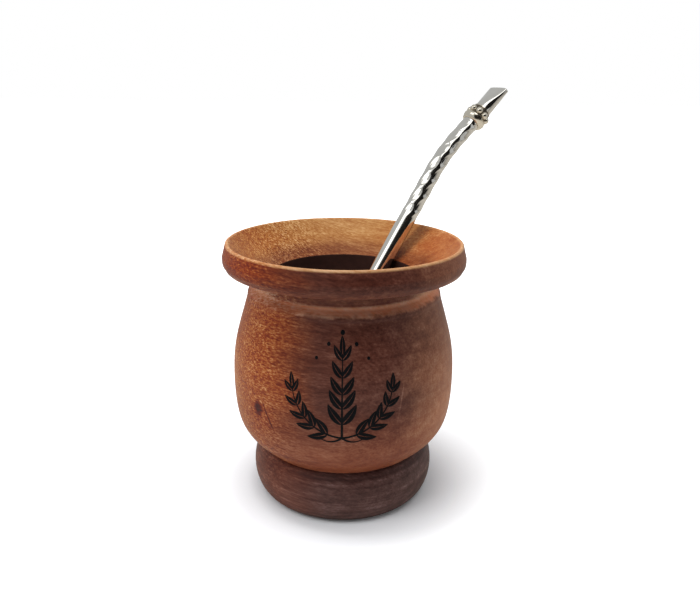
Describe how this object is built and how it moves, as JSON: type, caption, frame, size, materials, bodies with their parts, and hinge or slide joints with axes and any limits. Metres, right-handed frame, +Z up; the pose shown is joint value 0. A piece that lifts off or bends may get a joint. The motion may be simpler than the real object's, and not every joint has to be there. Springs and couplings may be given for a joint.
{
  "type": "mate cup with bombilla straw",
  "caption": "Turned wooden mate cup with a flared mouth, neck groove, round belly and bead foot, and a bent metal bombilla straw with a ring and flat mouthpiece leaning in it.",
  "frame": {"origin": "centre of the flat underside of the foot, on the cup's turning axis", "axes": "+Z up along the cup's axis; the straw leans towards +X and a little towards +Y, so the side seen from -Y is the front"},
  "size_m": [0.1003, 0.0863, 0.1387],
  "materials": {
    "turned_wood": "turned, satin oiled and lightly varnished",
    "straw_metal": "polished, chased with small cuts",
    "ring_metal": "polished cast ring"
  },
  "bodies": {
    "root": {"cup": "turned_wood", "bombilla_tube": "straw_metal", "bombilla_ring": "ring_metal"}
  },
  "joints": []
}
